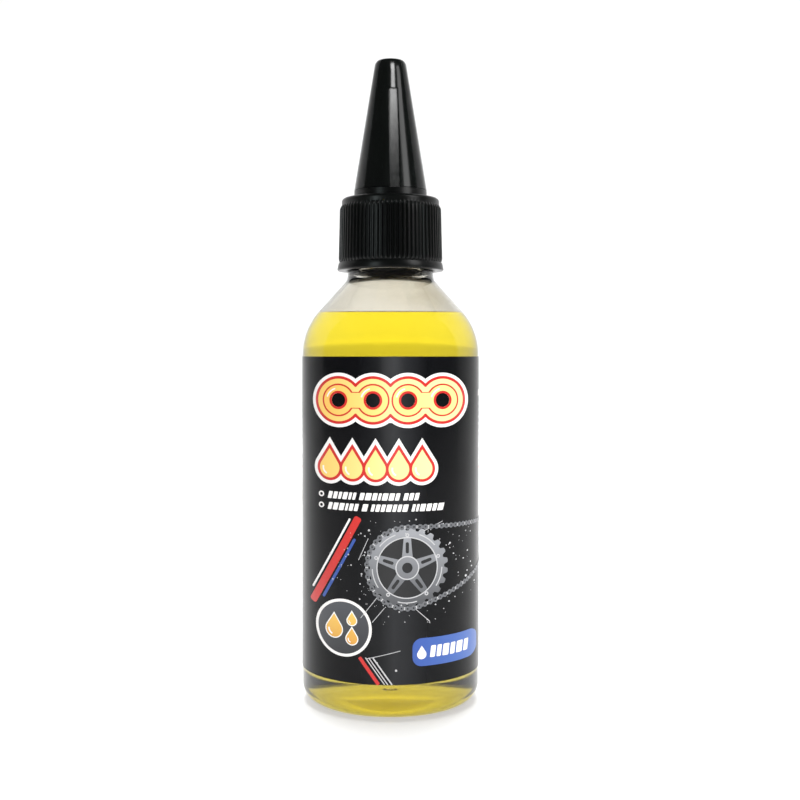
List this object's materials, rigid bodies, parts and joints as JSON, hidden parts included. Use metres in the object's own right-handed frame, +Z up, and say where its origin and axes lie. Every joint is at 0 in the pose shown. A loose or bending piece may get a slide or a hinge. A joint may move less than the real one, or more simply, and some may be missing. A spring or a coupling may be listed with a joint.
{
  "type": "chain lube bottle",
  "caption": "Clear round squeeze bottle of yellow chain oil with a dark film label round all but its back, a ribbed black screw-on drip nozzle and a tall conical overcap.",
  "frame": {"origin": "centre of the ring that the bottle stands on, at the height of the surface under it", "axes": "+Z up along the bottle's axis, -Y towards the front of the label"},
  "size_m": [0.0406, 0.0406, 0.1462],
  "materials": {
    "clear_bottle": "clear and glossy",
    "oil": "clear yellow liquid",
    "label_film": "glossy printed film",
    "sealing_ring": "soft foam",
    "black_cap": "satin moulded plastic"
  },
  "bodies": {
    "bottle": {"bottle": "clear_bottle", "oil": "oil", "label": "label_film"},
    "liner_lift": {"liner": "sealing_ring"},
    "closure": {"nozzle_cap": "black_cap"},
    "overcap": {"overcap": "black_cap"}
  },
  "joints": [
    {"name": "closure_lift", "type": "slide", "parent": "bottle", "child": "liner_lift", "axis": [0, 0, 1], "range_m": [0, 0.00477]},
    {"name": "closure_turn", "type": "hinge", "parent": "liner_lift", "child": "closure", "pos_m": [0, 0, 0.105], "axis": [0, 0, 1], "range_deg": [0, 540]},
    {"name": "overcap_pull", "type": "slide", "parent": "closure", "child": "overcap", "axis": [0, 0, 1], "range_m": [0, 0.034]}
  ],
  "couplings": [
    {"joint": "closure_lift", "follows": "closure_turn", "m_per_rad": 0.00050532}
  ]
}
